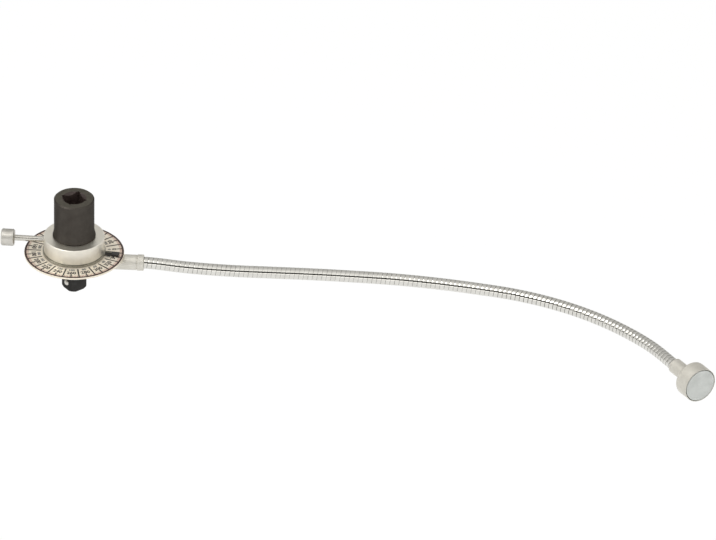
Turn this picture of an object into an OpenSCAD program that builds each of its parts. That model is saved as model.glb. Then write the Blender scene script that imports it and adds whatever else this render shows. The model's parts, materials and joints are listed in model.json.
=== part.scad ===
// Torque angle gauge for a 1/2 inch square drive. A drive spindle turns in a hub that carries a degree dial.
// A pointer collar is clamped to the spindle by a thumbscrew and reads the turn on the dial, which a bendable
// arm with a magnet on its end keeps from turning.
// Origin on the spindle's axis at the end face of the male square, +Z up the spindle,
// +X along the arm's ferrule.

/* [Square drive] */
// Side of the square drive, male and female
drive_square = 12.7; // [11:0.1:14]
// Length of the male square
square_l = 14.6; // [13:0.1:17]
// What is taken off each corner of the male square, along its diagonal
corner_cut = 0.7; // [0.4:0.1:1.2]
// Chamfer round the end of the male square
tip_chamfer = 1.2; // [0.6:0.1:1.6]
// Turn of the male square about the spindle's axis
male_turn = 39; // [0:1:89]
// Extra width of the square socket over the square
socket_clearance = 0.15; // [0.05:0.05:0.3]
// Depth of the square socket
socket_depth = 16.5; // [14:0.1:20]
// How far the round lead-in reaches past the socket's flats
lead_in = 1.7; // [1:0.1:3]
// Turn of the square socket about the spindle's axis
socket_turn = 29; // [0:1:89]
// Depth of the detent groove in the socket's flats
socket_groove = 0.9; // [0.5:0.1:1.4]
// Height of the detent groove
socket_groove_h = 3.4; // [2.4:0.1:4.4]
// Middle of the detent groove below the top of the socket
socket_groove_at = 7.5; // [6.5:0.1:9]

/* [Detent] */
// Diameter of the detent ball
ball_d = 4.76; // [4:0.01:5.5]
// How far the ball stands out of the square's flat
ball_out = 1.2; // [0.8:0.1:1.5]
// Height of the ball above the square's end
ball_h = 5.2; // [4.6:0.1:7]
// Thickness of the staked lip that keeps the ball in
lip_t = 0.35; // [0.2:0.05:0.5]
// Depth of the ball's hole below the flat
detent_depth = 10.5; // [9.5:0.1:11]
// Wire of the detent spring
spring_wire = 0.6; // [0.4:0.05:0.8]
// Turns of the detent spring
spring_turns = 4; // [3:1:6]

/* [Spindle] */
// Diameter of the socket head
head_d = 27.2; // [25:0.1:30]
// Height of the socket head
head_h = 29.5; // [26:0.5:36]
// Chamfer at the top of the socket head
head_chamfer = 0.8; // [0.3:0.1:1.5]
// Radial growth of the flare at the foot of the socket head
flare_out = 0.9; // [0.4:0.1:1.2]
// Height of the flare
flare_h = 5.2; // [2:0.1:7]
// Straight land under the flare
flare_land = 1; // [0.8:0.1:1.6]
// Chamfer under the land, which leaves a dark gap over the collar
land_chamfer = 0.6; // [0.3:0.1:0.7]
// Diameter of the shank that the hub and the collar turn on
shank_d = 20; // [19:0.1:21]

/* [Bearing] */
// Length of shank left below the retaining ring
ring_land = 1; // [0.6:0.1:2]
// Thickness of the retaining ring
ring_t = 1.2; // [1:0.1:1.5]
// Radial depth of the ring's groove
ring_groove = 0.5; // [0.3:0.05:0.8]
// Radial width of the retaining ring
ring_w = 2.6; // [2:0.1:3]
// Radius of the two lugs of the retaining ring
lug_r = 1.6; // [1.3:0.1:1.8]
// Angle of the gap in the retaining ring
ring_gap = 50; // [35:1:70]
// Angle from an edge of the gap to the lug beside it
lug_angle = 8; // [6:1:12]
// Thickness of the thrust washer
washer_t = 0.6; // [0.4:0.1:1]
// Thickness of the disc spring
disc_t = 0.35; // [0.2:0.05:0.5]
// Height of the disc spring
disc_h = 0.8; // [0.6:0.05:1.2]
// Radial width of the thrust washer and the disc spring
washer_w = 3.2; // [2.5:0.1:3.6]
// Wall of the bearing bush
bush_wall = 2; // [1.5:0.1:2.4]
// Diameter of the dial hub
hub_d = 36; // [35:0.5:40]
// Length of the dial hub
hub_l = 11.1; // [10.9:0.1:14]
// Chamfer round the foot of the hub
hub_chamfer = 2; // [1:0.1:2.5]
// Diameter of the pocket for the ring and the washers in the foot of the hub
ring_pocket_d = 28.8; // [28.4:0.1:29.4]
// How far the hub reaches below the retaining ring
hub_lip = 0.6; // [0.3:0.1:1.5]

/* [Dial] */
// Diameter of the dial plate
dial_d = 67.2; // [62:0.2:80]
// Thickness of the dial plate
dial_t = 1.5; // [1.2:0.1:2.5]
// Chamfer round the edge of the dial plate
dial_edge = 0.3; // [0.1:0.05:0.5]
// Number of screws that hold the dial plate
dial_screws_n = 3; // [3:1:4]
// Radius of the circle of dial screws
dial_screw_at = 15; // [14.6:0.1:15.4]
// Diameter of the dial screws
dial_screw_d = 2.5; // [2:0.1:2.6]
// Diameter of the dial screws' heads
dial_screw_head_d = 4.6; // [4:0.1:5]
// Length of the dial screws
dial_screw_l = 6; // [5:0.1:7]

/* [Pointer] */
// Thickness of the friction washer under the pointer
friction_t = 0.4; // [0.3:0.05:0.8]
// Diameter of the friction washer
friction_d = 39; // [34:0.5:40]
// Thickness of the pointer
pointer_t = 1.2; // [1:0.1:2]
// Diameter of the pointer's ring
pointer_ring_d = 42.2; // [41.5:0.1:46]
// Width of the pointer's bar
pointer_w = 4; // [3:0.1:6]
// Radius that the pointer's tip reaches
pointer_reach = 30.6; // [27:0.1:32.5]
// Width of the raised rib along the pointer's bar
rib_w = 1.2; // [0.8:0.1:2]
// Height of the rib
rib_h = 0.5; // [0.2:0.1:1]
// Length of the rib outside the pointer's ring
rib_l = 4.6; // [3:0.1:7]
// Angle of the pointer from the arm at rest
pointer_turn = -6; // [-60:1:60]
// Diameter of the rivets that hold the pointer to the collar
rivet_d = 1.8; // [1.5:0.1:2.2]
// Diameter of the rivets' heads
rivet_head_d = 3; // [2.6:0.1:3.6]
// Height of the rivets' countersunk heads
rivet_head_h = 0.7; // [0.4:0.1:0.9]
// How deep the rivets go into the collar
rivet_l = 3; // [2:0.1:3.4]
// Radius of the circle of rivets
rivet_at = 15.2; // [14:0.1:17]
// Number of rivets
rivets_n = 3; // [3:1:4]

/* [Collar] */
// Diameter of the pointer collar
collar_d = 40.8; // [39:0.2:41]
// Height of the pointer collar
collar_h = 11.3; // [10.8:0.1:14]
// Chamfer at the top of the collar
collar_top_chamfer = 0.3; // [0.2:0.1:1]
// Chamfer at the foot of the collar
collar_foot_chamfer = 0.3; // [0.2:0.1:1.5]

/* [Thumbscrew] */
// Turn of the thumbscrew away from straight opposite the pointer
screw_turn = 4; // [-20:1:20]
// Height of the thumbscrew's axis above the collar's foot
screw_h = 6.8; // [5.6:0.1:7.5]
// Diameter of the thumbscrew's rod
screw_d = 4; // [3.5:0.1:4.5]
// Distance of the knob's outer end from the spindle's axis
knob_end = 49.2; // [46:0.1:56]
// Diameter of the knob over its knurl
knob_d = 11.6; // [10:0.1:13]
// Length of the knob
knob_l = 8; // [7:0.1:11]
// Chamfer at both ends of the knob
knob_chamfer = 0.7; // [0.3:0.1:1]
// Number of teeth of the knurl
knurl_n = 40; // [24:1:48]
// Depth of the knurl
knurl_depth = 0.3; // [0.15:0.05:0.5]
// Diameter of the shoulder under the knob
shoulder_d = 6.4; // [5.5:0.1:8]
// Length of the shoulder under the knob
shoulder_l = 1; // [0.5:0.1:2]
// How deep the rod goes into the knob
knob_bore_l = 6; // [4:0.1:6.5]
// Pitch of the thumbscrew's thread
screw_pitch = 0.7; // [0.5:0.05:0.8]
// Turns of the thumbscrew from tight to loose
screw_turns = 2; // [1:1:4]
// Diameter of the brass pad at the rod's tip
pad_d = 3.2; // [2.6:0.1:3.4]
// Length of the pad
pad_l = 3; // [2.5:0.1:4]
// Diameter of the tip that the pad turns on
tip_d = 1.6; // [1.2:0.1:2]
// Length of the tip
tip_l = 1.2; // [0.8:0.1:1.6]

/* [Ferrule] */
// Diameter of the arm's ferrule
ferrule_d = 10.4; // [9.6:0.1:10.6]
// Gap between the ferrule and the dial
ferrule_gap = 0.2; // [0.1:0.05:0.5]
// Distance of the ferrule's mouth from the spindle's axis
ferrule_end = 47; // [44:0.1:60]
// Depth of the flat seat for the ferrule in the hub's side
seat_depth = 1.4; // [1.2:0.1:1.8]
// Diameter of the ferrule's threaded spigot
spigot_d = 4; // [3:0.1:4.4]
// Length of the spigot
spigot_l = 3; // [2:0.1:3.2]
// Diameter of the rim at the ferrule's mouth
rim_d = 11; // [10.8:0.1:12]
// Length of the rim
rim_l = 4.6; // [3:0.1:6]
// Width of the groove behind the rim
rim_groove_w = 0.6; // [0.3:0.1:1]
// Depth of the groove behind the rim
rim_groove = 0.25; // [0.1:0.05:0.4]
// Chamfer at the ferrule's mouth
mouth_chamfer = 0.4; // [0.2:0.1:0.6]

/* [Bendable arm] */
// Number of sections of the arm that bend against each other
arm_sections = 14; // [10:1:18]
// Length of a section
section_l = 27.8; // [24:0.1:32]
// Turns of the wound strip on a section
turns_n = 9; // [7:1:11]
// Outer diameter of the wound strip
hose_d = 8.2; // [7.6:0.1:8.6]
// Bore of the arm
hose_bore = 4.6; // [4:0.1:4.8]
// Depth of the groove between two turns
turn_groove = 0.4; // [0.2:0.05:0.6]
// Width of the groove between two turns
turn_groove_w = 0.7; // [0.4:0.1:1]
// Crown of a turn's outer face
turn_crown = 0.12; // [0.05:0.01:0.2]
// Diameter of the ball end that a section turns on
joint_d = 6.8; // [6.4:0.1:7]
// Gap round the ball end
joint_gap = 0.15; // [0.1:0.01:0.25]
// Furthest that two neighbouring sections bend from straight
bend_max = 20; // [10:1:24]
// How deep the arm's ends are held in the ferrule and in the magnet's holder
hose_in = 9; // [7:0.1:12]
// Heading of the arm at rest, in degrees from the ferrule, at shares of its length
arm_headings = [[0, -5], [0.2, 4], [0.4, -1], [0.5, -6.5], [0.6, -10.5], [0.7, -21.5], [0.8, -33.5],
    [0.9, -44.5], [1, -57.5]];
// How early the arm comes down to the surface, as a power
arm_ease = 2.5; // [1.5:0.1:3]

/* [Magnet] */
// Diameter of the magnet's cup
cup_d = 24; // [20:0.5:26]
// Length of the cup with its shoulder
cup_l = 12; // [11:0.5:20]
// Radius of the cup's round shoulder
cup_shoulder = 1.5; // [0.5:0.5:4]
// Thickness of the cup's rim
cup_wall = 0.5; // [0.4:0.1:1.2]
// Diameter of the holder's neck
neck_d = 10.4; // [9.8:0.1:12]
// Length of the holder's neck
neck_l = 17.5; // [12.5:0.5:20]
// Thickness of the magnet
magnet_t = 6; // [4:0.5:8]
// Gap round the magnet
magnet_gap = 0.4; // [0.2:0.1:0.6]
// How far the magnet stands out of its cup
magnet_out = 0.15; // [0.05:0.05:0.4]

/* [Fits] */
// Radial clearance of a part that turns or slides on another
run_clearance = 0.04; // [0.02:0.01:0.08]
// Radial clearance of a part that is pressed or screwed into another
seat_clearance = 0.02; // [0.01:0.01:0.05]
// Radial clearance of a washer on the shank
washer_clearance = 0.15; // [0.1:0.05:0.3]

/* [Hidden] */
$fn = 96;
eps = 0.01;
// How far a cut runs past the face that it opens
overcut = 1;
// Where the first screw or rivet of a circle sits
first_turn = 60;
// Spare swing of an arm section, for a bend that is already there
bend_spare = 2;
spring_sides = 6;
spring_steps = 14;

arm_node = [for (i = [1 : arm_sections]) str("arm_section_", i < 10 ? "0" : "", i)];

// Heights of the stack on the shank, from the square's end upwards
ring_z = square_l + ring_land;
washer_z = ring_z + ring_t;
disc_z = washer_z + washer_t;
hub_floor_z = disc_z + disc_h;
hub_z = ring_z - hub_lip;
dial_z = hub_z + hub_l;
dial_top_z = dial_z + dial_t;
pointer_z = dial_top_z + friction_t;
collar_z = pointer_z + pointer_t;
head_z = collar_z + collar_h;
top_z = head_z + head_h;
screw_z = collar_z + screw_h;

// Radii of the shank and of what sits on it
shank_r = shank_d / 2;
square_half = drive_square / 2;
square_corner_r = drive_square / sqrt(2) - corner_cut;
socket_w = drive_square + socket_clearance;
bush_r = shank_r + run_clearance + bush_wall;
washer_bore_r = shank_r + washer_clearance;
ring_bore_r = shank_r - ring_groove + seat_clearance;

// The detent ball's place along its hole, from the spindle's axis
ball_r = ball_d / 2;
ball_at = square_half + ball_out - ball_r;
lip_from_ball = square_half - lip_t - ball_at;
lip_r = sqrt(ball_r * ball_r - lip_from_ball * lip_from_ball) + seat_clearance;
spring_r = ball_r - spring_wire;
spring_foot = square_half - detent_depth + spring_wire / 2 + seat_clearance;
spring_head = ball_at - sqrt(pow(ball_r + spring_wire / 2 + seat_clearance, 2) - spring_r * spring_r);

// The thumbscrew's places along its axis, from the spindle's axis
pad_at = shank_r + run_clearance;
rod_at = pad_at + pad_l;
knob_at = knob_end - knob_l;
screw_axis = pointer_turn + 180 + screw_turn;

// The arm's places
hub_r = hub_d / 2;
seat_x = hub_r - seat_depth;
arm_z0 = dial_z - ferrule_gap - ferrule_d / 2;
arm_drop = arm_z0 - cup_d / 2;
hose_r = hose_d / 2;
bore_r = hose_bore / 2;
joint_r = joint_d / 2;
// Room for the rim of a section to swing
swing_gap = hose_r * sin(bend_max + bend_spare) + joint_gap;
pivot_x = ferrule_end + swing_gap;
holder_l = neck_l + cup_l;

function arm_height(i) = arm_z0 - arm_drop * (1 - pow(1 - i / arm_sections, arm_ease));
function arm_rise(i) = arm_height(i + 1) - arm_height(i);
function arm_heading(i) = lookup((i + 0.5) / arm_sections, arm_headings);
function arm_flat(i) = sqrt(section_l * section_l - arm_rise(i) * arm_rise(i));
function arm_step(i) = [arm_flat(i) * cos(arm_heading(i)), arm_flat(i) * sin(arm_heading(i)), arm_rise(i)];
function arm_pivot(i) = i == 0 ? [pivot_x, 0, arm_z0] : arm_pivot(i - 1) + arm_step(i - 1);

// Stands children on the pivot of section i, with +Z along the section
module along_arm(i) {
    translate(arm_pivot(i))
        rotate([0, 90 - asin(arm_rise(i) / section_l), arm_heading(i)])
            children();
}

// Stands children behind the last pivot, level and with +Z along the holder's axis
module along_holder() {
    translate(arm_pivot(arm_sections))
        rotate([0, 90, arm_heading(arm_sections - 1)])
            children();
}

// Lays +Z along a line that runs outwards from the spindle's axis
module outwards(angle, height) {
    rotate([0, 0, angle])
        translate([0, 0, height])
            rotate([0, 90, 0])
                children();
}

module around(count, radius) {
    for (i = [0 : count - 1])
        rotate([0, 0, i * 360 / count + first_turn])
            translate([radius, 0, 0])
                children();
}

module ring(outer_r, inner_r, height) {
    rotate_extrude()
        translate([inner_r, 0])
            square([outer_r - inner_r, height]);
}

// A turned disc or tube with a chamfer at its foot and at its top
module turned(outer_r, inner_r, height, foot_chamfer, top_chamfer) {
    rotate_extrude()
        polygon([[inner_r, 0], [outer_r - foot_chamfer, 0], [outer_r, foot_chamfer],
            [outer_r, height - top_chamfer], [outer_r - top_chamfer, height], [inner_r, height]]);
}

// A round wire wound into a coil along +Z
module coil(radius, wire, height, turns) {
    last = turns * spring_steps;
    points = [for (i = [0 : last], k = [0 : spring_sides - 1])
        let (turn = i * 360 / spring_steps, side = k * 360 / spring_sides, r = radius + wire / 2 * cos(side))
            [r * cos(turn), r * sin(turn), height * i / last + wire / 2 * sin(side)]];
    walls = [for (i = [0 : last - 1], k = [0 : spring_sides - 1])
        let (next = (k + 1) % spring_sides, low = i * spring_sides, high = low + spring_sides)
            [low + k, high + k, high + next, low + next]];
    foot = [for (k = [0 : spring_sides - 1]) k];
    head = [for (k = [spring_sides - 1 : -1 : 0]) last * spring_sides + k];
    polyhedron(points, concat(walls, [foot, head]));
}

module male_square() {
    intersection() {
        rotate([0, 0, male_turn])
            translate([-square_half, -square_half, 0])
                cube([drive_square, drive_square, square_l + eps]);
        turned(square_corner_r, 0, square_l + 2 * eps, tip_chamfer, 0);
    }
}

module socket_head() {
    flare_bend = (flare_h * flare_h + flare_out * flare_out) / (2 * flare_out);
    land_r = head_d / 2 + flare_out;
    translate([0, 0, head_z]) {
        translate([0, 0, flare_land])
            turned(head_d / 2, 0, head_h - flare_land, 0, head_chamfer);
        turned(land_r, 0, flare_land, land_chamfer, 0);
        translate([0, 0, flare_land - eps])
            rotate_extrude()
                difference() {
                    square([land_r, flare_h + eps]);
                    translate([head_d / 2 + flare_bend, flare_h + eps])
                        circle(flare_bend);
                }
    }
}

module socket_cut() {
    lead_r = socket_w / 2 + lead_in;
    translate([0, 0, top_z]) {
        rotate([0, 0, socket_turn])
            translate([-socket_w / 2, -socket_w / 2, -socket_depth])
                cube([socket_w, socket_w, socket_depth + overcut]);
        translate([0, 0, -lead_r])
            cylinder(r1 = 0, r2 = lead_r + overcut, h = lead_r + overcut);
        translate([0, 0, -socket_groove_at - socket_groove_h / 2])
            cylinder(r = socket_w / 2 + socket_groove, h = socket_groove_h);
        translate([0, 0, -socket_depth - socket_w / 2])
            cylinder(r1 = 0, r2 = socket_w / 2, h = socket_w / 2);
    }
}

module detent_hole() {
    outwards(male_turn + 180, ball_h) {
        translate([0, 0, square_half - detent_depth])
            cylinder(r = ball_r + run_clearance, h = detent_depth - lip_t);
        cylinder(r = lip_r, h = square_half + overcut);
    }
}

module drive_spindle() {
    color("dimgray")
        difference() {
            union() {
                male_square();
                translate([0, 0, square_l])
                    turned(shank_r, 0, head_z - square_l + eps, ring_land / 2, 0);
                socket_head();
            }
            socket_cut();
            translate([0, 0, ring_z])
                ring(shank_r + overcut, shank_r - ring_groove, ring_t);
            detent_hole();
        }
}

module detent_ball() {
    color("silver")
        outwards(male_turn + 180, ball_h)
            translate([0, 0, ball_at])
                sphere(ball_r);
}

module detent_spring() {
    color("gray")
        outwards(male_turn + 180, ball_h)
            translate([0, 0, spring_foot])
                coil(spring_r, spring_wire, spring_head - spring_foot, spring_turns);
}

// An open ring with two lugs, as it snaps into the groove of the shank
module retaining_ring() {
    ring_r = ring_bore_r + ring_w;
    lug_at = ring_bore_r + lug_r;
    lug_turn = ring_gap / 2 + lug_angle;
    gap_x = 2 * ring_r * cos(ring_gap / 2);
    gap_y = 2 * ring_r * sin(ring_gap / 2);
    color("darkslategray")
        translate([0, 0, ring_z])
            linear_extrude(ring_t)
                difference() {
                    union() {
                        difference() {
                            circle(ring_r);
                            polygon([[0, 0], [gap_x, gap_y], [gap_x, -gap_y]]);
                        }
                        for (side = [-1, 1])
                            rotate(side * lug_turn)
                                translate([lug_at, 0])
                                    circle(lug_r);
                    }
                    circle(ring_bore_r);
                    for (side = [-1, 1])
                        rotate(side * lug_turn)
                            translate([lug_at, 0])
                                circle(lug_r / 2);
                }
}

module thrust_washer() {
    color("lightgray")
        translate([0, 0, washer_z])
            ring(washer_bore_r + washer_w, washer_bore_r, washer_t);
}

module disc_spring() {
    outer_r = washer_bore_r + washer_w;
    color("slategray")
        translate([0, 0, disc_z])
            rotate_extrude()
                polygon([[washer_bore_r, disc_h - disc_t], [outer_r, 0],
                    [outer_r, disc_t], [washer_bore_r, disc_h]]);
}

module bearing_bush() {
    color("goldenrod")
        translate([0, 0, hub_floor_z])
            ring(bush_r, shank_r + run_clearance, dial_top_z - hub_floor_z);
}

module dial_hub() {
    color("lightgray")
        difference() {
            translate([0, 0, hub_z])
                turned(hub_r, bush_r + seat_clearance, hub_l, hub_chamfer, 0);
            translate([0, 0, hub_z - eps])
                cylinder(d = ring_pocket_d, h = hub_floor_z - hub_z + eps);
            outwards(0, arm_z0) {
                translate([0, 0, seat_x])
                    cylinder(r = ferrule_d / 2 + washer_clearance, h = hub_r);
                translate([0, 0, seat_x - spigot_l])
                    cylinder(r = spigot_d / 2 + seat_clearance, h = spigot_l + eps);
            }
            translate([0, 0, dial_top_z - dial_screw_l])
                around(dial_screws_n, dial_screw_at)
                    cylinder(r = dial_screw_d / 2 + seat_clearance, h = dial_screw_l);
        }
}

// A countersunk screw or rivet that hangs from its head's face at the origin
module countersunk(shank, head, head_h, length, clearance) {
    translate([0, 0, -length])
        cylinder(r = shank / 2 + clearance, h = length);
    translate([0, 0, -head_h])
        cylinder(r1 = shank / 2 + clearance, r2 = head / 2 + clearance, h = head_h);
}

module dial_screw(clearance) {
    head_h = (dial_screw_head_d - dial_screw_d) / 2;
    translate([0, 0, dial_top_z])
        around(dial_screws_n, dial_screw_at)
            countersunk(dial_screw_d, dial_screw_head_d, head_h, dial_screw_l, clearance);
}

module dial_plate() {
    color("gainsboro")
        difference() {
            translate([0, 0, dial_z])
                turned(dial_d / 2, bush_r + seat_clearance, dial_t, dial_edge, dial_edge);
            dial_screw(seat_clearance);
        }
}

module dial_screws() {
    slot_w = dial_screw_d / 4;
    color("silver")
        difference() {
            dial_screw(0);
            translate([0, 0, dial_top_z])
                around(dial_screws_n, dial_screw_at)
                    cube([dial_screw_head_d + overcut, slot_w, slot_w], center = true);
        }
}

module friction_washer() {
    color("saddlebrown")
        translate([0, 0, dial_top_z])
            ring(friction_d / 2, washer_bore_r, friction_t);
}

// Stands the rivets head down in the foot of the pointer
module rivets(clearance) {
    translate([0, 0, pointer_z])
        mirror([0, 0, 1])
            around(rivets_n, rivet_at)
                countersunk(rivet_d, rivet_head_d, rivet_head_h, pointer_t + rivet_l, clearance);
}

module pointer() {
    ring_r = pointer_ring_d / 2;
    color([0.15, 0.15, 0.15])
        rotate([0, 0, pointer_turn])
            difference() {
                translate([0, 0, pointer_z]) {
                    difference() {
                        union() {
                            cylinder(r = ring_r, h = pointer_t);
                            translate([0, -pointer_w / 2, 0])
                                cube([pointer_reach, pointer_w, pointer_t]);
                            translate([ring_r - eps, -rib_w / 2, pointer_t - eps])
                                cube([rib_l, rib_w, rib_h + eps]);
                        }
                        translate([0, 0, -eps])
                            cylinder(r = washer_bore_r, h = pointer_t + 2 * eps);
                    }
                }
                rivets(seat_clearance);
            }
}

module pointer_rivets() {
    color("silver")
        rotate([0, 0, pointer_turn])
            rivets(0);
}

module pointer_collar() {
    color("silver")
        difference() {
            translate([0, 0, collar_z])
                turned(collar_d / 2, shank_r + run_clearance, collar_h,
                    collar_foot_chamfer, collar_top_chamfer);
            outwards(screw_axis, screw_z)
                cylinder(r = screw_d / 2 + run_clearance, h = collar_d);
            rotate([0, 0, pointer_turn])
                rivets(seat_clearance);
        }
}

module clamp_pad() {
    color("goldenrod")
        outwards(screw_axis, screw_z)
            translate([0, 0, pad_at])
                difference() {
                    cylinder(d = pad_d, h = pad_l);
                    translate([0, 0, pad_l - tip_l - run_clearance])
                        cylinder(r = tip_d / 2 + run_clearance, h = tip_l + overcut);
                }
}

module clamp_screw() {
    color("silver")
        outwards(screw_axis, screw_z) {
            translate([0, 0, rod_at - tip_l])
                cylinder(d = tip_d, h = tip_l + eps);
            translate([0, 0, rod_at])
                cylinder(d = screw_d, h = knob_at + knob_bore_l - rod_at);
        }
}

module clamp_knob() {
    outer_r = knob_d / 2;
    teeth = [for (i = [0 : 2 * knurl_n - 1])
        let (r = outer_r - (i % 2) * knurl_depth, turn = i * 180 / knurl_n)
            [r * cos(turn), r * sin(turn)]];
    color("gainsboro")
        outwards(screw_axis, screw_z)
            translate([0, 0, knob_at])
                difference() {
                    union() {
                        intersection() {
                            linear_extrude(knob_l)
                                polygon(teeth);
                            turned(outer_r + eps, 0, knob_l, knob_chamfer, knob_chamfer);
                        }
                        translate([0, 0, -shoulder_l])
                            cylinder(d = shoulder_d, h = shoulder_l + eps);
                    }
                    translate([0, 0, -shoulder_l - eps])
                        cylinder(r = screw_d / 2 + seat_clearance, h = knob_bore_l + shoulder_l + eps);
                }
}

module arm_ferrule() {
    body_r = ferrule_d / 2;
    rim_at = ferrule_end - seat_x - rim_l;
    color("lightgray")
        outwards(0, arm_z0)
            translate([0, 0, seat_x])
                difference() {
                    union() {
                        translate([0, 0, -spigot_l])
                            cylinder(d = spigot_d, h = spigot_l + eps);
                        cylinder(r = body_r, h = rim_at + eps);
                        translate([0, 0, rim_at])
                            turned(rim_d / 2, 0, rim_l, mouth_chamfer, mouth_chamfer);
                    }
                    translate([0, 0, rim_at - rim_groove_w])
                        ring(body_r + overcut, body_r - rim_groove, rim_groove_w);
                    translate([0, 0, rim_at + rim_l - hose_in - seat_clearance])
                        cylinder(r = hose_r + seat_clearance, h = hose_in + overcut);
                }
}

// Half outline of a wound strip of so many turns along +Y, out from the bore
module wound_outline(length, turns) {
    pitch = length / turns;
    edge_r = hose_r - turn_crown;
    groove_r = hose_r - turn_groove;
    half_w = turn_groove_w / 2;
    faces = [for (k = [0 : turns - 1], step = [0 : 3])
        let (y = k * pitch)
            [[edge_r, y + (k == 0 ? 0 : half_w)], [hose_r, y + pitch / 2],
                [edge_r, y + pitch - (k == turns - 1 ? 0 : half_w)],
                k == turns - 1 ? [bore_r, y + pitch] : [groove_r, y + pitch]][step]];
    polygon(concat([[bore_r, 0]], faces));
}

// Half outline of the hollow ball end, centred on the next pivot
module ball_outline() {
    difference() {
        circle(joint_r);
        translate([bore_r - 2 * joint_r, -joint_r])
            square([2 * joint_r, 2 * joint_r]);
    }
}

// The end of the wound strip that is fixed in the ferrule, with the first ball end
module arm_root() {
    color("silver")
        outwards(0, arm_z0)
            translate([0, 0, ferrule_end - hose_in])
                rotate_extrude() {
                    translate([bore_r, 0])
                        square([hose_r - bore_r, hose_in]);
                    translate([0, hose_in + swing_gap])
                        ball_outline();
                }
}

// One section of the wound strip: a cup over the ball end behind it and a ball end at its front,
// or on the last section the end that is fixed in the magnet's holder
module arm_section(i) {
    last = i == arm_sections;
    strip_l = last ? section_l + hose_in : section_l - swing_gap;
    turns = last ? round(turns_n * strip_l / section_l) : turns_n;
    color("silver")
        along_arm(i - 1)
            rotate_extrude()
                difference() {
                    union() {
                        wound_outline(strip_l, turns);
                        if (!last)
                            translate([0, section_l])
                                ball_outline();
                    }
                    circle(joint_r + joint_gap);
                }
}

module magnet_holder() {
    cup_r = cup_d / 2;
    recess_r = cup_r - cup_wall;
    color("lightgray")
        along_holder()
            difference() {
                rotate_extrude()
                    difference() {
                        union() {
                            square([neck_d / 2, neck_l + eps]);
                            translate([0, neck_l])
                                square([cup_r - cup_shoulder, cup_l]);
                            translate([0, neck_l + cup_shoulder])
                                square([cup_r, cup_l - cup_shoulder]);
                            translate([cup_r - cup_shoulder, neck_l + cup_shoulder])
                                circle(cup_shoulder);
                        }
                        translate([-cup_r, 0])
                            square([cup_r, holder_l]);
                    }
                translate([0, 0, -eps])
                    cylinder(r = hose_r + seat_clearance, h = hose_in + seat_clearance + eps);
                translate([0, 0, holder_l + magnet_out - magnet_t])
                    cylinder(r = recess_r, h = magnet_t);
            }
}

module magnet() {
    color("lightsteelblue")
        along_holder()
            translate([0, 0, holder_l + magnet_out - magnet_t])
                cylinder(r = cup_d / 2 - cup_wall - magnet_gap, h = magnet_t);
}

drive_spindle();
detent_ball();
detent_spring();
retaining_ring();
thrust_washer();
disc_spring();
bearing_bush();
dial_hub();
dial_plate();
dial_screws();
friction_washer();
pointer();
pointer_rivets();
pointer_collar();
clamp_pad();
clamp_screw();
clamp_knob();
arm_ferrule();
arm_root();
for (i = [1 : arm_sections])
    arm_section(i);
magnet_holder();
magnet();
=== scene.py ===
"""Dresses the torque angle gauge: finishes, printed dial, wound arm, knurled knob, light and camera."""
import json
import math

import bmesh
import bpy
from mathutils import Matrix, Vector

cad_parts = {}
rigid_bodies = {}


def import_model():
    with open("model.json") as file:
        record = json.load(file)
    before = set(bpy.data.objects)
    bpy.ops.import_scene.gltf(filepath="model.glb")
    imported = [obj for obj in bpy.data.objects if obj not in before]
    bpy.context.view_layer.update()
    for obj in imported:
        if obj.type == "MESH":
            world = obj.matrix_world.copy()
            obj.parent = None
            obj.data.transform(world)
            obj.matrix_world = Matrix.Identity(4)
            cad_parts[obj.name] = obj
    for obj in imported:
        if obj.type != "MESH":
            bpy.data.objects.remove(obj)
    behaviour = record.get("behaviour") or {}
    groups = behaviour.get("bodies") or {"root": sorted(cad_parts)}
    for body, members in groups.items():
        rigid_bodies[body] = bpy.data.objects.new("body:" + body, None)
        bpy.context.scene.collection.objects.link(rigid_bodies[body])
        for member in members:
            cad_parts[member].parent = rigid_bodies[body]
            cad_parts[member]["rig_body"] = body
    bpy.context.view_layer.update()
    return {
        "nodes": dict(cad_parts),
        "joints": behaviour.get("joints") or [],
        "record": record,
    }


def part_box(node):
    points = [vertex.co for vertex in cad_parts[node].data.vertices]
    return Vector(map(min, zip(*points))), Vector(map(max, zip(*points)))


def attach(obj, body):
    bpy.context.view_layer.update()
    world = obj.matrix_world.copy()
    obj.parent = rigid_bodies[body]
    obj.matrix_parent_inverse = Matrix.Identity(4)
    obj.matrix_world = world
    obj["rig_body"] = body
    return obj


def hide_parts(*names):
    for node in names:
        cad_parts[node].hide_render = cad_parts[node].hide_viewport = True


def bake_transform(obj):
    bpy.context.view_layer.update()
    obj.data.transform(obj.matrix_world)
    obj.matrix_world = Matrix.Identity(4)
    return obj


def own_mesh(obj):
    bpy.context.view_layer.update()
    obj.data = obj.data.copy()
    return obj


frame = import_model()

MM = 0.001
UP = Vector((0, 0, 1))

# The photograph's frame and the view of it
IMAGE_W, IMAGE_H = 716, 540
CAMERA_AZIMUTH = math.radians(2.95)
CAMERA_ELEVATION = math.radians(32.3)
CAMERA_ROLL = math.radians(0.55)
CAMERA_DISTANCE = 12.0
SENSOR = 36.0
# Real size of one pixel at the dial, and the pixel where the dial's centre shows
PIXEL = 0.6718 * MM
DIAL_PIXEL = (74.2, 251.4)

# Rounded edges of the solid pieces
WELD = 1e-7
FLAT_ANGLE = math.radians(0.6)
SHARP_ANGLE = math.radians(28)
EDGE_SEGMENTS = 3
SPINDLE_EDGE = 0.25 * MM
POINTER_EDGE = 0.12 * MM
# Upward part of a face's normal from which the face counts as level
LEVEL_FACE = 0.99
# How deep the turned skin of the spindle's end face reaches, and the room that its socket takes, which
# gets painted shade
EDGE_SKIN = 0.05 * MM
SOCKET_DEPTH = 24 * MM
SOCKET_REACH = 9.6 * MM
# Top of the male square; below it the spindle is painted darker and cooler as shade under the dial
MALE_TOP = 14.6 * MM
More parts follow.
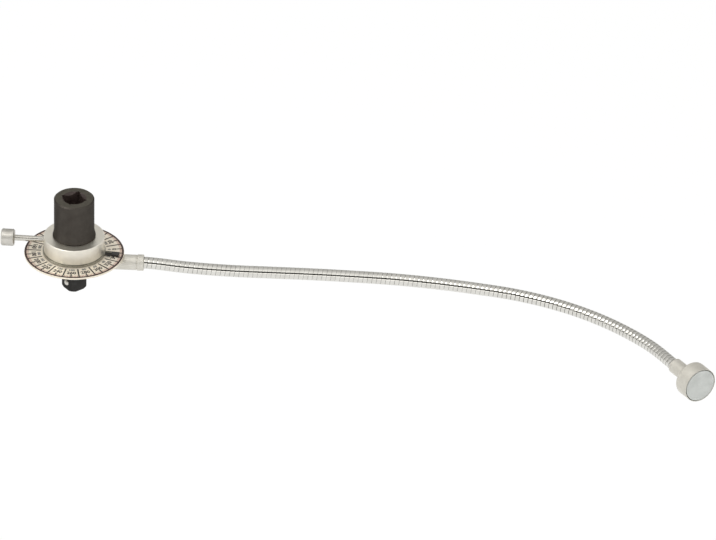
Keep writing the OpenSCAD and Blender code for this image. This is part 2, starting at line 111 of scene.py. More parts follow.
# How deep the lighter grey skin on top of the pointer's rib reaches, and how far past its ring the bar
# is found
RIB_SKIN = 0.2 * MM
PAST_RING = 1.0 * MM

# Printed dial
PRINT_T = 0.03 * MM
SCALE_STEP = 2
MID_STEP = 10
LONG_STEP = 20
BORDER_W = 1.35 * MM
BORDER_IN = 0.15 * MM
BORDER_STEPS = 144
LONG_TICK_IN = 22.4 * MM
MID_TICK_IN = 29.0 * MM
FINE_TICK_IN = 30.6 * MM
TICK_W = 1.0 * MM
FINE_TICK_W = 0.36 * MM
NUMBER_H = 2.9 * MM
NUMBER_R = 27.3 * MM
COUNTER_H = 1.9 * MM
COUNTER_R = 23.8 * MM
BOLD = 0.15 * MM
# Height of a figure as a share of the font's size
FIGURE_SHARE = 0.7
FIGURE_CURVES = 3

# Diamond knurl and dished end of the knob
KNURL_TEETH = 36
KNURL_SAMPLES = 4
KNURL_ROWS = 36
KNURL_DEPTH = 0.28 * MM
KNOB_BORE_R = 1.6 * MM
KNOB_CHAMFER = 0.8 * MM
DISH_LIP = 2.2 * KNOB_CHAMFER
DISH_FOOT = 2.8 * KNOB_CHAMFER
DISH_DEPTH = 0.4 * MM

# Wound strip of the bendable arm
STRIP_R = 4.1 * MM
STRIP_TURNS = 9
STRIP_STEPS = 40
STRIP_FILL = 0.97
STRIP_ARCH = 0.09 * MM
# For each degree that the arm bends: how much of the pitch opens, and how much higher the strip arches
STRIP_OPENS = 0.009
STRIP_RISES = 0.006 * MM
STRIP_DEPTH = 1.2 * MM
STRIP_POINTS = 9
# Depth of the groove between two turns, and the angle round the arm at which the strip is cut
GROOVE_DEPTH = 0.75 * MM
CUT_ANGLE = math.radians(90)
# Turns inside the ferrule and inside the magnet's holder, and where the first bend starts
ROOT_TURNS = 3.5
END_TURNS = 7

# Part of a noise's range that its colours and gloss run over
NOISE_LOW = 0.3
NOISE_HIGH = 0.7
# Pitch of the wave texture's lines at a scale of 1, in metres
WAVE_PITCH = math.pi / 10


# Materials

def node_tree(name):
    """A new material with its node tree, its shader and the piece's own coordinates."""
    material = bpy.data.materials.new(name)
    material.use_nodes = True
    tree = material.node_tree
    shader = tree.nodes["Principled BSDF"]
    place = tree.nodes.new("ShaderNodeTexCoord").outputs["Object"]
    return material, tree, shader, place


def noise(tree, place, size, detail=3.0):
    """Soft noise whose blotches are about one size across."""
    texture = tree.nodes.new("ShaderNodeTexNoise")
    texture.inputs["Scale"].default_value = 1 / size
    texture.inputs["Detail"].default_value = detail
    tree.links.new(place, texture.inputs["Vector"])
    return texture.outputs["Fac"]


def turned_lines(tree, place, pitch, rings):
    """Tool marks of a lathe: rings about the Z axis, or bands along it."""
    wave = tree.nodes.new("ShaderNodeTexWave")
    wave.wave_type = "RINGS" if rings else "BANDS"
    if rings:
        wave.rings_direction = "Z"
    else:
        wave.bands_direction = "Z"
    wave.inputs["Scale"].default_value = WAVE_PITCH / pitch
    wave.inputs["Distortion"].default_value = 1.5
    wave.inputs["Detail"].default_value = 2.0
    tree.links.new(place, wave.inputs["Vector"])
    return wave.outputs["Fac"]


def ramp(tree, factor, low, high):
    """Colours from low to high over the middle of a factor's range."""
    colours = tree.nodes.new("ShaderNodeValToRGB")
    first, last = colours.color_ramp.elements
    first.position = NOISE_LOW
    last.position = NOISE_HIGH
    first.color = (*low, 1)
    last.color = (*high, 1)
    tree.links.new(factor, colours.inputs["Fac"])
    return colours.outputs["Color"]


def span(tree, factor, low, high):
    """The middle of a factor's range brought to a range from low to high."""
    scaled = tree.nodes.new("ShaderNodeMapRange")
    scaled.inputs["From Min"].default_value = NOISE_LOW
    scaled.inputs["From Max"].default_value = NOISE_HIGH
    scaled.inputs["To Min"].default_value = low
    scaled.inputs["To Max"].default_value = high
    tree.links.new(factor, scaled.inputs["Value"])
    return scaled.outputs["Result"]


def bump(tree, shader, height, strength, depth, below=None):
    """Bump from a height, on top of another bump if there is one."""
    relief = tree.nodes.new("ShaderNodeBump")
    relief.inputs["Strength"].default_value = strength
    relief.inputs["Distance"].default_value = depth
    tree.links.new(height, relief.inputs["Height"])
    if below is not None:
        tree.links.new(below, relief.inputs["Normal"])
    tree.links.new(relief.outputs["Normal"], shader.inputs["Normal"])
    return relief.outputs["Normal"]


def finish(name, low, high, rough, metallic, mottle, grain, lines=None, edge_tint=None,
           relief_strength=0.12):
    """A surface whose colour and gloss wander between two values, with a fine grain and turned lines."""
    material, tree, shader, place = node_tree(name)
    blotch = noise(tree, place, mottle)
    tree.links.new(ramp(tree, blotch, low, high), shader.inputs["Base Color"])
    fine = noise(tree, place, grain, detail=2.0)
    tree.links.new(span(tree, fine, *rough), shader.inputs["Roughness"])
    shader.inputs["Metallic"].default_value = metallic
    if edge_tint:
        shader.inputs["Specular Tint"].default_value = (*edge_tint, 1)
    relief = bump(tree, shader, fine, relief_strength, grain)
    if lines:
        pitch, strength = lines
        for rings in (True, False):
            marks = turned_lines(tree, place, pitch, rings)
            relief = bump(tree, shader, marks, strength, pitch / 4, relief)
    return material


BLACK_OXIDE = finish(
    "black_oxide", (0.058, 0.051, 0.044), (0.076, 0.068, 0.059), rough=(0.36, 0.48), metallic=0.9,
    mottle=6 * MM, grain=0.35 * MM, edge_tint=(0.45, 0.45, 0.45))
RUBBED_EDGE = finish(
    "rubbed_edge", (0.060, 0.052, 0.044), (0.105, 0.092, 0.078), rough=(0.32, 0.44), metallic=0.9,
    mottle=2 * MM, grain=0.3 * MM, edge_tint=(0.5, 0.5, 0.5))
TURNED_END = finish(
    "turned_end", (0.105, 0.098, 0.080), (0.140, 0.130, 0.108), rough=(0.32, 0.44), metallic=0.9,
    mottle=3 * MM, grain=0.3 * MM, edge_tint=(0.45, 0.45, 0.45))
# Darker, cooler oxide for the male square: painted shade under the dial
MALE_SHADE_OXIDE = finish(
    "male_painted_shade", (0.034, 0.033, 0.031), (0.047, 0.046, 0.044), rough=(0.36, 0.48), metallic=0.9,
    mottle=4 * MM, grain=0.35 * MM, edge_tint=(0.45, 0.45, 0.45))
# Very dark, dull oxide inside the socket: painted shade in the recess
SOCKET_SHADE_OXIDE = finish(
    "socket_painted_shade", (0.026, 0.017, 0.015), (0.042, 0.029, 0.025), rough=(0.50, 0.62), metallic=0.2,
    mottle=2 * MM, grain=0.3 * MM)
COLLAR_NICKEL = finish(
    "turned_nickel", (0.87, 0.84, 0.75), (0.95, 0.92, 0.83), rough=(0.34, 0.44), metallic=0.96,
    mottle=9 * MM, grain=0.4 * MM, lines=(0.28 * MM, 0.10))
SATIN_NICKEL = finish(
    "satin_nickel", (0.69, 0.67, 0.61), (0.77, 0.75, 0.69), rough=(0.55, 0.65), metallic=1.0,
    mottle=7 * MM, grain=0.3 * MM, relief_strength=0.06)
KNOB_NICKEL = finish(
    "knob_nickel", (0.60, 0.58, 0.53), (0.70, 0.68, 0.63), rough=(0.32, 0.42), metallic=1.0,
    mottle=4 * MM, grain=0.3 * MM)
BRIGHT_STEEL = finish(
    "bright_steel", (0.56, 0.54, 0.49), (0.66, 0.64, 0.59), rough=(0.14, 0.22), metallic=1.0,
    mottle=5 * MM, grain=0.3 * MM)
STRIP_CHROME = finish(
    "strip_chrome", (0.66, 0.65, 0.61), (0.76, 0.75, 0.71), rough=(0.07, 0.14), metallic=1.0,
    mottle=4 * MM, grain=0.3 * MM, relief_strength=0.03)
# Dark olive groove faces between turns: painted shade in the grooves
STRIP_GROOVE_SHADE = finish(
    "strip_groove_painted_shade", (0.10, 0.095, 0.065), (0.17, 0.16, 0.12), rough=(0.40, 0.55), metallic=0.6,
    mottle=2 * MM, grain=0.2 * MM)
DIAL_ALUMINIUM = finish(
    "dial_aluminium", (0.76, 0.695, 0.580), (0.84, 0.775, 0.660), rough=(0.34, 0.44), metallic=0.6,
    mottle=8 * MM, grain=0.3 * MM, lines=(0.35 * MM, 0.06))
PLAIN_ALUMINIUM = finish(
    "plain_aluminium", (0.66, 0.65, 0.62), (0.76, 0.75, 0.72), rough=(0.38, 0.50), metallic=1.0,
    mottle=6 * MM, grain=0.3 * MM)
MAGNET_PLATE = finish(
    "magnet_plate", (0.52, 0.54, 0.52), (0.60, 0.62, 0.60), rough=(0.44, 0.56), metallic=0.6,
    mottle=5 * MM, grain=0.25 * MM)
BLACK_PAINT = finish(
    "black_paint", (0.012, 0.011, 0.010), (0.022, 0.020, 0.018), rough=(0.34, 0.46), metallic=0.0,
    mottle=4 * MM, grain=0.3 * MM)
RING_STEEL = finish(
    "ring_steel", (0.32, 0.31, 0.27), (0.42, 0.41, 0.36), rough=(0.24, 0.34), metallic=1.0,
    mottle=3 * MM, grain=0.3 * MM)
RIB_STEEL = finish(
    "rib_steel", (0.14, 0.13, 0.10), (0.22, 0.21, 0.17), rough=(0.36, 0.46), metallic=0.8,
    mottle=1.5 * MM, grain=0.2 * MM)
INK_BLACK = finish(
    "ink_black", (0.015, 0.012, 0.011), (0.035, 0.028, 0.025), rough=(0.50, 0.62), metallic=0.0,
    mottle=1.5 * MM, grain=0.2 * MM)
INK_BROWN = finish(
    "ink_brown", (0.028, 0.015, 0.012), (0.050, 0.028, 0.022), rough=(0.50, 0.62), metallic=0.0,
    mottle=1.5 * MM, grain=0.2 * MM)
INK_RED = finish(
    "ink_red", (0.20, 0.060, 0.045), (0.28, 0.095, 0.070), rough=(0.50, 0.62), metallic=0.0,
    mottle=1.5 * MM, grain=0.2 * MM)
INK_GREY = finish(
    "ink_grey", (0.10, 0.10, 0.095), (0.17, 0.17, 0.16), rough=(0.50, 0.62), metallic=0.0,
    mottle=1.5 * MM, grain=0.2 * MM)
BRONZE = finish(
    "bearing_bronze", (0.42, 0.26, 0.11), (0.55, 0.36, 0.17), rough=(0.30, 0.42), metallic=1.0,
    mottle=3 * MM, grain=0.3 * MM)
SPRING_STEEL = finish(
    "spring_steel", (0.30, 0.29, 0.28), (0.42, 0.41, 0.40), rough=(0.26, 0.36), metallic=1.0,
    mottle=3 * MM, grain=0.3 * MM)
FIBRE = finish(
    "fibre", (0.17, 0.10, 0.06), (0.26, 0.16, 0.10), rough=(0.60, 0.75), metallic=0.0,
    mottle=2 * MM, grain=0.2 * MM)


# Pieces

def piece_from(name, bm, *materials):
    """A smooth-shaded object from a finished mesh, with its materials in order."""
    mesh = bpy.data.meshes.new(name)
    bm.normal_update()
    bm.to_mesh(mesh)
    bm.free()
    for material in materials:
        mesh.materials.append(material)
    for face in mesh.polygons:
        face.use_smooth = True
    piece = bpy.data.objects.new(name, mesh)
    bpy.context.scene.collection.objects.link(piece)
    return piece


def is_sharp(edge):
    """Whether two faces meet at an edge at more than a slight angle."""
    return edge.is_manifold and edge.calc_face_angle() > SHARP_ANGLE


def mark_creases(piece):
    """Keeps a clean break in the shading at the sharp edges."""
    bm = bmesh.new()
    bm.from_mesh(piece.data)
    for edge in bm.edges:
        edge.smooth = not is_sharp(edge)
    bm.to_mesh(piece.data)
    bm.free()


def even_normals(piece):
    """Flat faces stay flat next to rounded edges."""
    modifier = piece.modifiers.new("even_normals", "WEIGHTED_NORMAL")
    modifier.mode = "FACE_AREA"
    modifier.keep_sharp = False


def mesh_copy(node):
    """The mesh of a solid piece, closed up at its seams and without vectors stored at its corners."""
    bm = bmesh.new()
    bm.from_mesh(frame["nodes"][node].data)
    for layer in list(bm.loops.layers.float_vector.values()):
        bm.loops.layers.float_vector.remove(layer)
    bmesh.ops.remove_doubles(bm, verts=bm.verts[:], dist=WELD)
    return bm


def softened(name, node, radius, slot, material, edge_material=None):
    """A copy of a solid piece with its sharp edges rounded, which stands for that piece."""
    source = frame["nodes"][node]
    bm = mesh_copy(node)
    bmesh.ops.dissolve_limit(bm, angle_limit=FLAT_ANGLE, verts=bm.verts[:], edges=bm.edges[:])
    for face in bm.faces:
        face.material_index = 0
    materials = [material, edge_material] if edge_material else [material]
    bmesh.ops.bevel(
        bm, geom=[edge for edge in bm.edges if is_sharp(edge)], offset=radius, offset_type="OFFSET",
        segments=EDGE_SEGMENTS, profile=0.5, affect="EDGES", clamp_overlap=True,
        material=len(materials) - 1)
    piece = piece_from(name, bm, *materials)
    if "custom_normal" in piece.data.attributes:
        piece.data.attributes.remove(piece.data.attributes["custom_normal"])
    even_normals(piece)
    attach(piece, source["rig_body"])
    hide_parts(node)
    return piece


def plain(node, material):
    """A piece that keeps its own shape and gets a finer material."""
    mesh = frame["nodes"][node].data
    mesh.materials.clear()
    mesh.materials.append(material)


def add_material(piece, material):
    """Gives a piece one more material, and returns its number."""
    piece.data.materials.append(material)
    return len(piece.data.materials) - 1


def joint_named(name):
    """The joint of that name."""
    return next(joint for joint in frame["joints"] if joint["name"] == name)


# Name, node, radius of the edges, slot and material
SOFT_NODES = [
    ("collar_body", "pointer_collar", 0.25 * MM, "turned_steel", COLLAR_NICKEL),
    ("dial_disc", "dial_plate", 0.12 * MM, "brushed_aluminium", DIAL_ALUMINIUM),
    ("hub_body", "dial_hub", 0.2 * MM, "plain_aluminium", PLAIN_ALUMINIUM),
    ("ferrule_body", "arm_ferrule", 0.3 * MM, "satin_nickel", SATIN_NICKEL),
    ("holder_body", "magnet_holder", 0.25 * MM, "satin_nickel", SATIN_NICKEL),
    ("magnet_disc", "magnet", 0.2 * MM, "magnet_plate", MAGNET_PLATE),
    ("screw_rod", "clamp_screw", 0.15 * MM, "polished_steel", BRIGHT_STEEL),
    ("spring_disc", "disc_spring", 0.08 * MM, "spring_steel", SPRING_STEEL),
]
for soft_node in SOFT_NODES:
    softened(*soft_node)


def spindle():
    """Drive spindle with a turned end face, a socket painted dark and dull as shade inside it, and a
    male square painted darker and cooler as shade under the dial.
    """
    piece = softened("spindle_body", "drive_spindle", SPINDLE_EDGE, "black_oxide_steel",
                     BLACK_OXIDE, RUBBED_EDGE)
    end_face = add_material(piece, TURNED_END)
    socket = add_material(piece, SOCKET_SHADE_OXIDE)
    male_shade = add_material(piece, MALE_SHADE_OXIDE)
    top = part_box("drive_spindle")[1].z
    for face in piece.data.polygons:
        centre = face.center
        faces_in = face.normal.xy.dot(centre.xy) <= 0
        if centre.z > top - EDGE_SKIN and face.normal.z > LEVEL_FACE:
            face.material_index = end_face
        # Faces inside the socket get painted shade
        elif centre.z > top - SOCKET_DEPTH and centre.xy.length < SOCKET_REACH and faces_in:
            face.material_index = socket
        # The male square below its top gets painted shade
        elif centre.z < MALE_TOP and face.material_index == 0:
            face.material_index = male_shade


spindle()

PLAIN_NODES = {
    "detent_ball": BRIGHT_STEEL,
    "retaining_ring": SPRING_STEEL,
    "thrust_washer": BRIGHT_STEEL,
    "bearing_bush": BRONZE,
    "clamp_pad": BRONZE,
    "dial_screws": BRIGHT_STEEL,
    "pointer_rivets": BRIGHT_STEEL,
    "friction_washer": FIBRE,
}
for node, material in PLAIN_NODES.items():
    plain(node, material)


def detent_coil():
    """Coil spring behind the detent ball, carried by the body on which the ball's joint sits."""
    joint = joint_named("ball_press")
    bm = mesh_copy("detent_spring")
    piece = piece_from("detent_coil", bm, SPRING_STEEL)
    mark_creases(piece)
    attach(piece, joint["parent"])
    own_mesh(piece)
    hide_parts("detent_spring")


detent_coil()


def pointer():
    """Pointer with a black bar, a lighter grey top on its rib and a bare dark ring round the collar."""
    piece = softened("pointer_blade", "pointer", POINTER_EDGE, "black_oxide_steel", BLACK_PAINT)
    ring = add_material(piece, RING_STEEL)
    rib = add_material(piece, RIB_STEEL)
    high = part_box("pointer")[1]
    ring_r = high.y
    bar = [vertex.co for vertex in piece.data.vertices if vertex.co.xy.length > ring_r + PAST_RING]
    tip = sum(bar, Vector())
    way = Vector((tip.x, tip.y, 0)).normalized()
    bm = bmesh.new()
    bm.from_mesh(piece.data)
    bmesh.ops.bisect_plane(bm, geom=bm.verts[:] + bm.edges[:] + bm.faces[:], dist=WELD,
                           plane_co=way * ring_r, plane_no=way)
    for face in bm.faces:
        centre = face.calc_center_median()
        if centre.dot(way) < ring_r:
            face.material_index = ring
        elif centre.z > high.z - RIB_SKIN:
            face.material_index = rib
    bm.to_mesh(piece.data)
    bm.free()


pointer()


# Printed dial

def add_bar(bm, angle, inner, outer, width, base):
    """A thin printed line on the dial, from one radius to another."""
    turn = Matrix.Rotation(angle, 4, "Z")
    place = Matrix.Translation(((inner + outer) / 2, 0, base + PRINT_T / 2))
    size = Matrix.Diagonal((outer - inner, width, PRINT_T, 1))
    bmesh.ops.create_cube(bm, size=1, matrix=turn @ place @ size)


def add_ring(bm, inner, outer, base, steps):
    """A thin printed ring on the dial."""
    profile = ((inner, base), (outer, base), (outer, base + PRINT_T), (inner, base + PRINT_T))
    rows = []
    for step in range(steps):
        angle = 2 * math.pi * step / steps
        rows.append([bm.verts.new((r * math.cos(angle), r * math.sin(angle), z)) for r, z in profile])
    for row, following in zip(rows, rows[1:] + rows[:1]):
        for corner in range(4):
            after = (corner + 1) % 4
            bm.faces.new((row[corner], following[corner], following[after], row[after]))


def add_number(bm, text, height, angle, radius, base):
    """A printed number that reads from the dial's rim."""
    curve = bpy.data.curves.new("number", "FONT")
    curve.body = text
    curve.size = height / FIGURE_SHARE
    curve.align_x = "CENTER"
    curve.align_y = "CENTER"
    curve.extrude = PRINT_T / 2
    curve.offset = BOLD
    curve.resolution_u = FIGURE_CURVES
    label = bpy.data.objects.new("number", curve)
    bpy.context.scene.collection.objects.link(label)
    bpy.context.view_layer.update()
    shape = label.evaluated_get(bpy.context.evaluated_depsgraph_get())
    mesh = bpy.data.meshes.new_from_object(shape)
    place = Matrix.Translation((radius, 0, base + PRINT_T / 2))
    turn = Matrix.Rotation(angle, 4, "Z")
    upright = Matrix.Rotation(math.radians(90), 4, "Z")
    mesh.transform(turn @ place @ upright)
    bm.from_mesh(mesh)
    bpy.data.objects.remove(label)
    bpy.data.curves.remove(curve)
    bpy.data.meshes.remove(mesh)


def printed(name, bm, material):
    """A finished print, which rides on the dial."""
    bmesh.ops.recalc_face_normals(bm, faces=bm.faces[:])
    piece = piece_from(name, bm, material)
    for face in piece.data.polygons:
        face.use_smooth = False
    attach(piece, "dial")


def dial_print():
    """Border, ticks and two rings of plain numbers."""
    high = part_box("dial_plate")[1]
    top = high.z
    border_out = high.x - BORDER_IN
    border_in = border_out - BORDER_W
    border = bmesh.new()
    add_ring(border, border_in, border_out, top, BORDER_STEPS)
    printed("dial_border", border, INK_BROWN)
    long_ticks = bmesh.new()
    fine_ticks = bmesh.new()
    for degree in range(0, 360, SCALE_STEP):
        angle = math.radians(degree)
        if degree % LONG_STEP == 0:
            add_bar(long_ticks, angle, LONG_TICK_IN, border_in, TICK_W, top)
        elif degree % MID_STEP == 0:
            add_bar(long_ticks, angle, MID_TICK_IN, border_in, TICK_W, top)
        else:
            add_bar(fine_ticks, angle, FINE_TICK_IN, border_in, FINE_TICK_W, top)
    printed("dial_ticks", long_ticks, INK_BLACK)
    printed("dial_fine_ticks", fine_ticks, INK_RED)
    outer = bmesh.new()
    inner = bmesh.new()
    for degree in range(0, 360, LONG_STEP):
        angle = math.radians(degree + LONG_STEP / 2)
        add_number(outer, str(degree), NUMBER_H, angle, NUMBER_R, top)
        add_number(inner, str((360 - degree) % 360), COUNTER_H, angle, COUNTER_R, top)
    printed("dial_numbers", outer, INK_BLACK)
    printed("dial_counter_numbers", inner, INK_GREY)


dial_print()


# Knurled knob

def knob():
    """Thumbscrew knob with a diamond knurl, chamfered ends and a dished face."""
    joint = joint_named("thumbscrew_turn")
    axis = Vector(joint["axis"]).normalized()
    origin = Vector(joint["pos_m"])
    corners = [vertex.co - origin for vertex in frame["nodes"]["clamp_knob"].data.vertices]
    along = [corner.dot(axis) for corner in corners]
    start = min(along)
    length = max(along) - start
    reach = max((corner - axis * corner.dot(axis)).length for corner in corners)
    side = axis.cross(UP).normalized()
    over = side.cross(axis)
    columns = KNURL_TEETH * KNURL_SAMPLES
    pitch = 2 * math.pi * reach / KNURL_TEETH
    bm = bmesh.new()

    def tooth(value):
        """Height of a saw of even teeth, from 0 to 1."""
        return 1 - abs(2 * (value % 1) - 1)

    def ring(at, radius, knurl):
        """One row of corners round the knob; knurl is 1 where it is cut, and 0 where it is plain."""
        row = []
        for column in range(columns):
            turn = column / columns
            first = tooth(turn * KNURL_TEETH + at / pitch)
            second = tooth(turn * KNURL_TEETH - at / pitch)
            r = radius - knurl * KNURL_DEPTH * (1 - min(first, second))
            angle = 2 * math.pi * turn
            spoke = side * math.cos(angle) + over * math.sin(angle)
            row.append(bm.verts.new(origin + axis * (start + at) + spoke * r))
        return row

    rows = [ring(0, KNOB_BORE_R, 0), ring(0, reach - KNOB_CHAMFER, 0)]
    body = length - 2 * KNOB_CHAMFER
    for step in range(KNURL_ROWS + 1):
        rows.append(ring(KNOB_CHAMFER + body * step / KNURL_ROWS, reach, 1))
    rows.append(ring(length, reach - KNOB_CHAMFER, 0))
    rows.append(ring(length, reach - DISH_LIP, 0))
    rows.append(ring(length - DISH_DEPTH, reach - DISH_FOOT, 0))
    for row, following in zip(rows, rows[1:]):
        for column in range(columns):
            after = (column + 1) % columns
            bm.faces.new((row[column], row[after], following[after], following[column]))
    bm.faces.new(rows[0])
    bm.faces.new(rows[-1])
    bmesh.ops.recalc_face_normals(bm, faces=bm.faces[:])
    piece = piece_from("knurled_knob", bm, KNOB_NICKEL)
    even_normals(piece)
    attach(piece, "thumbscrew")
    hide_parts("clamp_knob")


knob()


# Bendable arm: a strip wound on the arm's route, cut into one stretch about each joint

arm_joints = [j for j in frame["joints"] if j["name"].startswith("arm_")]
pivots = [Vector(j["pos_m"]) for j in arm_joints]
section = (pivots[1] - pivots[0]).length
magnet_mount = next(m for m in frame["record"]["mounts"] if m["name"] == "magnet_face")
tail = (Vector(magnet_mount["pos_m"]) - pivots[-1]).normalized()
head = Vector((1, 0, 0))
strip_pitch = section / STRIP_TURNS
# Points of the route: the joints, two places before them and three after them
stations = [pivots[0] - head * section * steps for steps in (2, 1)]
stations += pivots
stations += [pivots[-1] + tail * section * steps for steps in (1, 2, 3)]


def route(at):
    """Point and direction on the arm's smooth route; whole numbers are the joints, from 0."""
    index = math.floor(at)
    part = at - index
    a, b, c, d = stations[index + 1:index + 5]
    slope = c - a
    curve = 2 * a - 5 * b + 4 * c - d
    twist = 3 * b - a - 3 * c + d
    point = 0.5 * (2 * b + slope * part + curve * part ** 2 + twist * part ** 3)
    way = 0.5 * (slope + 2 * curve * part + 3 * twist * part ** 2)
    return point, way.normalized()


def strip_profile(at):
    """Cross-section of the strip: an arch on a wider foot, narrower where a bend opens the turns."""
    # Past the last bend the strip stays as it is there
    near = min(at, len(pivots) - 2)
    bend = math.degrees(route(near - 0.5)[1].angle(route(near + 0.5)[1]))
    strip_w = strip_pitch * (STRIP_FILL - STRIP_OPENS * bend)
    arch = STRIP_ARCH + STRIP_RISES * bend
    arch_r = (strip_w ** 2 / 4 + arch ** 2) / (2 * arch)
    points = []
    for step in range(STRIP_POINTS):
        across = 2 * step / (STRIP_POINTS - 1) - 1
        along = across * strip_w / 2
        points.append((along, STRIP_R - arch_r + math.sqrt(arch_r ** 2 - along ** 2)))
    foot = [(strip_w / 2, GROOVE_DEPTH), (strip_pitch / 2, GROOVE_DEPTH), (strip_pitch / 2, STRIP_DEPTH)]
    points += [(along, STRIP_R - depth) for along, depth in foot]
    points += [(-along, STRIP_R - depth) for along, depth in reversed(foot)]
    return points


def winding(name, first_turn, last_turn):
    """A stretch of wound strip between two turns counted from the first joint."""
    steps = round((last_turn - first_turn) * STRIP_STEPS)
    bm = bmesh.new()
    rows = []
    for step in range(steps + 1):
        turn = first_turn + step / STRIP_STEPS
        angle = 2 * math.pi * turn + CUT_ANGLE
        row = []
        for along, radius in strip_profile(turn / STRIP_TURNS):
            point, way = route(turn / STRIP_TURNS + along / section)
            side = way.cross(UP).normalized()
            over = side.cross(way)
            spoke = side * math.cos(angle) + over * math.sin(angle)
            row.append(bm.verts.new(point + spoke * radius))
        rows.append(row)
    count = len(rows[0])
    for row, following in zip(rows, rows[1:]):
        for corner in range(count):
            after = (corner + 1) % count
            face = bm.faces.new((row[corner], row[after], following[after], following[corner]))
            # The foot faces in the groove between turns get painted shade
            face.material_index = 0 if corner < STRIP_POINTS - 1 else 1
    bm.faces.new(rows[0])
    bm.faces.new(rows[-1])
    bmesh.ops.recalc_face_normals(bm, faces=bm.faces[:])
    piece = piece_from(name, bm, STRIP_CHROME, STRIP_GROOVE_SHADE)
    mark_creases(piece)
    return piece


def arm():
    """One stretch of winding about each joint, and one into the magnet's holder."""
    half = STRIP_TURNS / 2
    for index, joint in enumerate(arm_joints):
        middle = index * STRIP_TURNS
        first = -ROOT_TURNS if index == 0 else middle - half
        number = index + 1
        piece = winding(f"arm_winding_{number:02d}", first, middle + half)
        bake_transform(piece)
        nodes = [f"arm_section_{number:02d}"]
        if index == 0:
            nodes.append("arm_root")
        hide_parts(*nodes)
    last = (len(pivots) - 1) * STRIP_TURNS + half
    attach(winding("arm_winding_end", last, last + END_TURNS), arm_joints[-1]["child"])


arm()


# Floor, light and camera

# Grey levels of the room over its arch, its two ends first: 0 is the horizon in front, 90 overhead
ROOM_LEVELS = [
    (0, 0.85), (180, 0.35), (7, 1.5), (17, 1.5), (20, 0.02), (44, 0.02), (47, 1.35), (55, 1.25),
    (75, 1.0), (90, 0.88), (110, 0.72), (127, 0.56), (145, 0.65), (150, 0.65), (165, 0.45)]
# A brighter panel overhead on the left: which way it lies, the cosines of its edge, and how much it adds
PANEL_WAY = (-0.52, -0.22, 0.83)
PANEL_EDGE = (0.94, 0.98)
PANEL_GAIN = 2.4
# A slightly warm light
ROOM_TINT = (1.0, 0.99, 0.97)
LAMP_TINT = (1.0, 0.985, 0.96)
FLOOR_REACH = 8.0
FLOOR_GREY = (0.86, 0.86, 0.86, 1)
# How far the floor shows white of its own to the camera and in mirrors; the rest keeps the shadow
FLOOR_GLOW = 0.93
# The floor clears the lowest point that the bent arm reaches
FLOOR_DROP = 0.15
# Name, place, target, width in metres and power in watts
LAMPS = [
    ("key", (-0.5, -0.3, 1.6), (0.15, 0, 0), 1.6, 12.0),
    ("fill", (1.2, -1.2, 1.0), (0.2, 0, 0), 1.0, 5.0),
    ("near", (0.0, -0.386, 0.48), (0.0, -0.03, 0.02), 0.15, 0.8),
]


def arithmetic(tree, operation, first, second):
    """The result of an operation on two values, each of which is a socket or a float."""
    node = tree.nodes.new("ShaderNodeMath")
    node.operation = operation
    for socket, value in zip(node.inputs, (first, second)):
        if isinstance(value, float):
            socket.default_value = value
        else:
            tree.links.new(value, socket)
    return node.outputs["Value"]


def room_greys(tree, direction):
    """Grey of the room in a direction, by its height over the horizon in front."""
    split = tree.nodes.new("ShaderNodeSeparateXYZ")
    tree.links.new(direction, split.inputs["Vector"])
    ahead = arithmetic(tree, "MULTIPLY", split.outputs["Y"], -1.0)
    angle = arithmetic(tree, "ARCTAN2", split.outputs["Z"], ahead)
    greys = tree.nodes.new("ShaderNodeValToRGB")
    stops = greys.color_ramp.elements
    for index, (degrees, level) in enumerate(ROOM_LEVELS):
        stop = stops[index] if index < 2 else stops.new(degrees / 180)
        stop.position = degrees / 180
        stop.color = (*(level * tint for tint in ROOM_TINT), 1)
    tree.links.new(arithmetic(tree, "DIVIDE", angle, math.pi), greys.inputs["Fac"])
    return greys.outputs["Color"]


def panel_strength(tree, direction):
    """How much brighter the room is in a direction, for the panel overhead."""
    facing = tree.nodes.new("ShaderNodeVectorMath")
    facing.operation = "DOT_PRODUCT"
    facing.inputs[1].default_value = PANEL_WAY
    tree.links.new(direction, facing.inputs[0])
    panel = tree.nodes.new("ShaderNodeMapRange")
    panel.interpolation_type = "SMOOTHSTEP"
    panel.inputs["From Min"].default_value = PANEL_EDGE[0]
    panel.inputs["From Max"].default_value = PANEL_EDGE[1]
    panel.inputs["To Min"].default_value = 1.0
    panel.inputs["To Max"].default_value = 1.0 + PANEL_GAIN
    tree.links.new(facing.outputs["Value"], panel.inputs["Value"])
    return panel.outputs["Result"]


def studio_world():
    """White to the camera; to the object a long hall with a dark slot in front and a dim wall behind."""
    world = bpy.data.worlds.new("studio")
    bpy.context.scene.world = world
    world.use_nodes = True
    tree = world.node_tree
    tree.nodes.clear()
    direction = tree.nodes.new("ShaderNodeTexCoord").outputs["Generated"]
    shine = tree.nodes.new("ShaderNodeBackground")
    tree.links.new(room_greys(tree, direction), shine.inputs["Color"])
    tree.links.new(panel_strength(tree, direction), shine.inputs["Strength"])
    white = tree.nodes.new("ShaderNodeBackground")
    white.inputs["Color"].default_value = (1, 1, 1, 1)
    path = tree.nodes.new("ShaderNodeLightPath")
    seen = tree.nodes.new("ShaderNodeMixShader")
    tree.links.new(path.outputs["Is Camera Ray"], seen.inputs["Fac"])
    tree.links.new(shine.outputs["Background"], seen.inputs[1])
    tree.links.new(white.outputs["Background"], seen.inputs[2])
    output = tree.nodes.new("ShaderNodeOutputWorld")
    tree.links.new(seen.outputs["Shader"], output.inputs["Surface"])


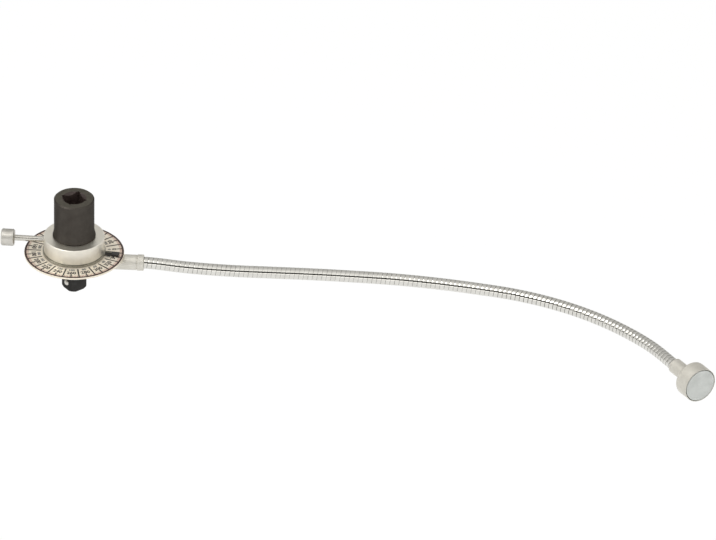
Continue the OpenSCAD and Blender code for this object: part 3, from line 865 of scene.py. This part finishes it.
def floor():
    """A white floor that keeps a soft shadow."""
    bm = bmesh.new()
    bmesh.ops.create_grid(bm, x_segments=1, y_segments=1, size=FLOOR_REACH)
    piece = piece_from("floor", bm)
    piece.location.z = -FLOOR_DROP
    material = bpy.data.materials.new("floor_white")
    material.use_nodes = True
    tree = material.node_tree
    tree.nodes.remove(tree.nodes["Principled BSDF"])
    matte = tree.nodes.new("ShaderNodeBsdfDiffuse")
    matte.inputs["Color"].default_value = FLOOR_GREY
    glow = tree.nodes.new("ShaderNodeEmission")
    path = tree.nodes.new("ShaderNodeLightPath")
    seen = arithmetic(tree, "MAXIMUM", path.outputs["Is Camera Ray"], path.outputs["Is Glossy Ray"])
    mix = tree.nodes.new("ShaderNodeMixShader")
    tree.links.new(arithmetic(tree, "MULTIPLY", seen, FLOOR_GLOW), mix.inputs["Fac"])
    tree.links.new(matte.outputs["BSDF"], mix.inputs[1])
    tree.links.new(glow.outputs["Emission"], mix.inputs[2])
    tree.links.new(mix.outputs["Shader"], tree.nodes["Material Output"].inputs["Surface"])
    piece.data.materials.append(material)


def softbox(name, place, target, size, power):
    """A square area lamp that looks at a point, and that polished pieces don't mirror."""
    lamp = bpy.data.lights.new(name, "AREA")
    lamp.shape = "SQUARE"
    lamp.size = size
    lamp.energy = power
    lamp.color = LAMP_TINT
    stand = bpy.data.objects.new(name, lamp)
    stand.visible_glossy = False
    stand.visible_camera = False
    stand.location = place
    stand.rotation_euler = (Vector(target) - Vector(place)).to_track_quat("-Z", "Y").to_euler()
    bpy.context.scene.collection.objects.link(stand)


def camera():
    """A long lens at the photograph's angle, aimed so that the dial falls on its pixel."""
    back = Vector((math.sin(CAMERA_AZIMUTH) * math.cos(CAMERA_ELEVATION),
                   -math.cos(CAMERA_AZIMUTH) * math.cos(CAMERA_ELEVATION),
                   math.sin(CAMERA_ELEVATION)))
    level = Vector((math.cos(CAMERA_AZIMUTH), math.sin(CAMERA_AZIMUTH), 0))
    right = Matrix.Rotation(CAMERA_ROLL, 3, back) @ level
    above = back.cross(right)
    dial = Vector((0, 0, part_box("dial_plate")[1].z))
    aim = dial + right * (IMAGE_W / 2 - DIAL_PIXEL[0]) * PIXEL
    aim -= above * (IMAGE_H / 2 - DIAL_PIXEL[1]) * PIXEL
    lens = bpy.data.cameras.new("camera")
    lens.sensor_width = SENSOR
    lens.lens = CAMERA_DISTANCE / PIXEL * SENSOR / IMAGE_W
    lens.clip_start = 0.1
    lens.clip_end = 100.0
    view = bpy.data.objects.new("camera", lens)
    view.location = aim + back * CAMERA_DISTANCE
    view.rotation_euler = Matrix((right, above, back)).transposed().to_euler()
    bpy.context.scene.collection.objects.link(view)
    bpy.context.scene.camera = view


studio_world()
floor()
for lamp_row in LAMPS:
    softbox(*lamp_row)
camera()

bpy.context.scene.view_settings.view_transform = "Standard"
